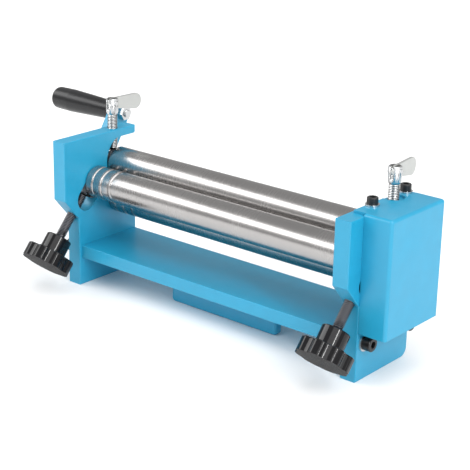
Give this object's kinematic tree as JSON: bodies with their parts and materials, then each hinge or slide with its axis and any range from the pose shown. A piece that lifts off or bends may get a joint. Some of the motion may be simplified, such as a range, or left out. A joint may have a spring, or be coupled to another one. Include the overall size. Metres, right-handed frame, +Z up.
{
  "type": "slip roll machine",
  "caption": "Bench slip roll: geared pinch rolls and a bending roll between blue side plates, with a crank, star feed knobs, folding clamp levers, gear cover and vise bar.",
  "frame": {"origin": "middle of the vise bar's bottom face, in the plane of the side plates' feet", "axes": "+X along the rolls from the crank to the gear cover, +Y from the star knobs to the rear, +Z up"},
  "size_m": [0.4976, 0.1713, 0.1818],
  "materials": {
    "blue_paint": "smooth sky-blue powder coat, low gloss",
    "ground_steel": "ground round bar with fine turning marks",
    "block_steel": "machined, oiled",
    "bronze": "turned bronze",
    "gear_steel": "hobbed teeth, oiled",
    "zinc": "bright zinc plate",
    "black_oxide": "black oxide, oiled",
    "lever_zinc": "satin, slightly pale",
    "knob_plastic": "glossy black moulded plastic",
    "grip_plastic": "satin black plastic"
  },
  "bodies": {
    "frame": {"left_side_plate": "blue_paint", "right_side_plate": "blue_paint", "lower_bush_left": "bronze", "lower_bush_right": "bronze", "tie_shelf": "blue_paint", "vise_bar": "blue_paint", "vise_bar_welds": "blue_paint", "shelf_screws": "black_oxide", "shelf_washers": "zinc", "gear_cover": "blue_paint", "cover_screws": "black_oxide", "cover_washers": "zinc"},
    "lower_roll": {"lower_roller": "ground_steel", "lower_gear": "gear_steel", "lower_gear_key": "gear_steel", "lower_gear_clip": "black_oxide", "crank_arm": "blue_paint", "crank_set_screw": "black_oxide", "grip_bolt": "zinc", "grip_washer": "zinc", "grip_nut": "zinc"},
    "grip": {"crank_grip": "grip_plastic"},
    "upper_carriage": {"upper_block_left": "block_steel", "upper_block_right": "block_steel"},
    "upper_roll": {"upper_roller": "ground_steel", "upper_gear": "gear_steel", "upper_gear_key": "gear_steel", "upper_gear_clip": "black_oxide"},
    "clamp_left": {"clamp_screw_left": "zinc", "fork_pin_left": "zinc"},
    "clamp_right": {"clamp_screw_right": "zinc", "fork_pin_right": "zinc"},
    "lever_left": {"clamp_lever_left": "lever_zinc"},
    "lever_right": {"clamp_lever_right": "lever_zinc"},
    "bending_carriage": {"bending_block_left": "block_steel", "bending_block_right": "block_steel"},
    "bending_roll": {"bending_roller": "ground_steel"},
    "knob_left": {"knob_screw_left": "black_oxide", "star_knob_left": "knob_plastic"},
    "knob_right": {"knob_screw_right": "black_oxide", "star_knob_right": "knob_plastic"}
  },
  "joints": [
    {"name": "crank_turn", "type": "hinge", "parent": "frame", "child": "lower_roll", "pos_m": [0, 0.0195, 0.0819], "axis": [1, 0, 0], "continuous": true},
    {"name": "grip_spin", "type": "hinge", "parent": "lower_roll", "child": "grip", "pos_m": [-0.25, 0.06401, 0.15314], "axis": [1, 0, 0], "continuous": true},
    {"name": "upper_lift", "type": "slide", "parent": "frame", "child": "upper_carriage", "axis": [0, 0, 1], "range_m": [-0.0032, 0.0108]},
    {"name": "upper_roller_turn", "type": "hinge", "parent": "upper_carriage", "child": "upper_roll", "pos_m": [0, 0.0195, 0.1172], "axis": [1, 0, 0], "continuous": true},
    {"name": "clamp_screw_left_turn", "type": "hinge", "parent": "upper_carriage", "child": "clamp_left", "pos_m": [-0.168, 0.0195, 0.15], "axis": [0, 0, 1], "range_deg": [-770, 2595]},
    {"name": "clamp_screw_right_turn", "type": "hinge", "parent": "upper_carriage", "child": "clamp_right", "pos_m": [0.168, 0.0195, 0.15], "axis": [0, 0, 1], "range_deg": [-770, 2595]},
    {"name": "clamp_lever_left_fold", "type": "hinge", "parent": "clamp_left", "child": "lever_left", "pos_m": [-0.168, 0.0195, 0.1766], "axis": [1, 0, 0], "range_deg": [0, 190]},
    {"name": "clamp_lever_right_fold", "type": "hinge", "parent": "clamp_right", "child": "lever_right", "pos_m": [0.168, 0.0195, 0.1766], "axis": [0.9903, 0.1392, 0], "range_deg": [0, 190]},
    {"name": "bending_slide", "type": "slide", "parent": "frame", "child": "bending_carriage", "axis": [0, 0.6561, 0.7547], "range_m": [-0.0145, 0.001]},
    {"name": "bending_roller_turn", "type": "hinge", "parent": "bending_carriage", "child": "bending_roll", "pos_m": [0, -0.012, 0.1041], "axis": [1, 0, 0], "continuous": true},
    {"name": "knob_left_turn", "type": "hinge", "parent": "bending_carriage", "child": "knob_left", "pos_m": [-0.168, -0.012, 0.1041], "axis": [0, 0.6561, 0.7547], "range_deg": [-3485, 245]},
    {"name": "knob_right_turn", "type": "hinge", "parent": "bending_carriage", "child": "knob_right", "pos_m": [0.168, -0.012, 0.1041], "axis": [0, 0.6561, 0.7547], "range_deg": [-3485, 245]}
  ],
  "couplings": [
    {"joint": "upper_roller_turn", "follows": "crank_turn", "ratio": -1},
    {"joint": "clamp_screw_left_turn", "follows": "upper_lift", "rad_per_m": 4188.8},
    {"joint": "clamp_screw_right_turn", "follows": "upper_lift", "rad_per_m": 4188.8},
    {"joint": "knob_left_turn", "follows": "bending_slide", "rad_per_m": 4188.8},
    {"joint": "knob_right_turn", "follows": "bending_slide", "rad_per_m": 4188.8}
  ]
}
